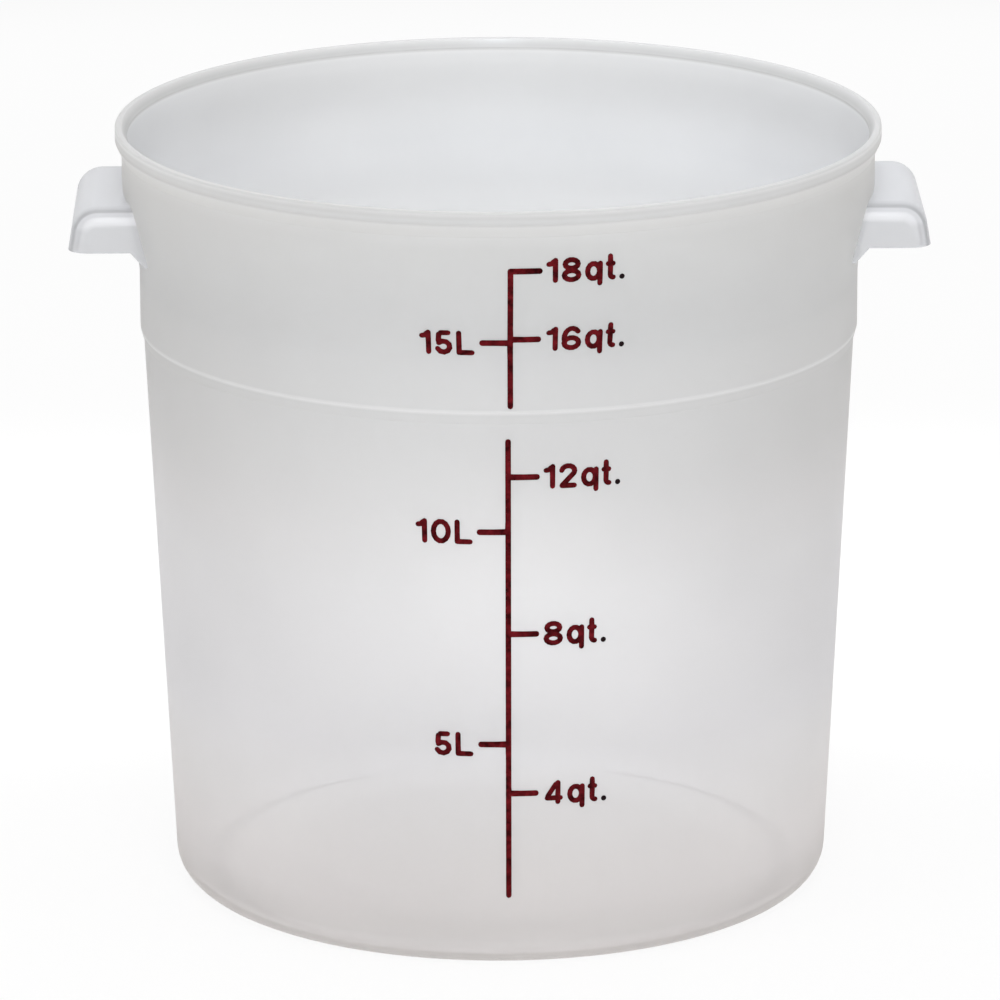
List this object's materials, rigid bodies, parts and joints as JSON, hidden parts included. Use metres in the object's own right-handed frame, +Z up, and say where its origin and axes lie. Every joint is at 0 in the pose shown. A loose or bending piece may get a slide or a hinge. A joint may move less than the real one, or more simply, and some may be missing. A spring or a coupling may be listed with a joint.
{
  "type": "food storage container",
  "caption": "Round, slightly tapered translucent tub, open at the top, with a stacking step, two hooded side grips and a printed volume scale.",
  "frame": {"origin": "centre of the base, on the surface that the tub stands on", "axes": "+Z up along the tub's axis, X through both grips, the printed scale faces -Y"},
  "size_m": [0.3434, 0.307, 0.313],
  "materials": {
    "translucent_polypropylene": "milky translucent, satin outside",
    "maroon_ink": "screen-printed film",
    "dark_ink": "screen-printed film"
  },
  "bodies": {
    "root": {"tub": "translucent_polypropylene", "scale_line_upper": "maroon_ink", "scale_line_lower": "maroon_ink", "mark_18qt_digit_1": "maroon_ink", "mark_18qt_digit_8": "maroon_ink", "mark_18qt_letter_q": "maroon_ink", "mark_18qt_letter_t": "maroon_ink", "mark_18qt_stop": "dark_ink", "mark_16qt_digit_1": "maroon_ink", "mark_16qt_digit_6": "maroon_ink", "mark_16qt_letter_q": "maroon_ink", "mark_16qt_letter_t": "maroon_ink", "mark_16qt_stop": "dark_ink", "mark_15L_digit_1": "maroon_ink", "mark_15L_digit_5": "maroon_ink", "mark_15L_letter_L": "maroon_ink", "mark_12qt_digit_1": "maroon_ink", "mark_12qt_digit_2": "maroon_ink", "mark_12qt_letter_q": "maroon_ink", "mark_12qt_letter_t": "maroon_ink", "mark_12qt_stop": "dark_ink", "mark_10L_digit_1": "maroon_ink", "mark_10L_digit_0": "maroon_ink", "mark_10L_letter_L": "maroon_ink", "mark_8qt_digit_8": "maroon_ink", "mark_8qt_letter_q": "maroon_ink", "mark_8qt_letter_t": "maroon_ink", "mark_8qt_stop": "dark_ink", "mark_5L_digit_5": "maroon_ink", "mark_5L_letter_L": "maroon_ink", "mark_4qt_digit_4": "maroon_ink", "mark_4qt_letter_q": "maroon_ink", "mark_4qt_letter_t": "maroon_ink", "mark_4qt_stop": "dark_ink"}
  },
  "joints": []
}
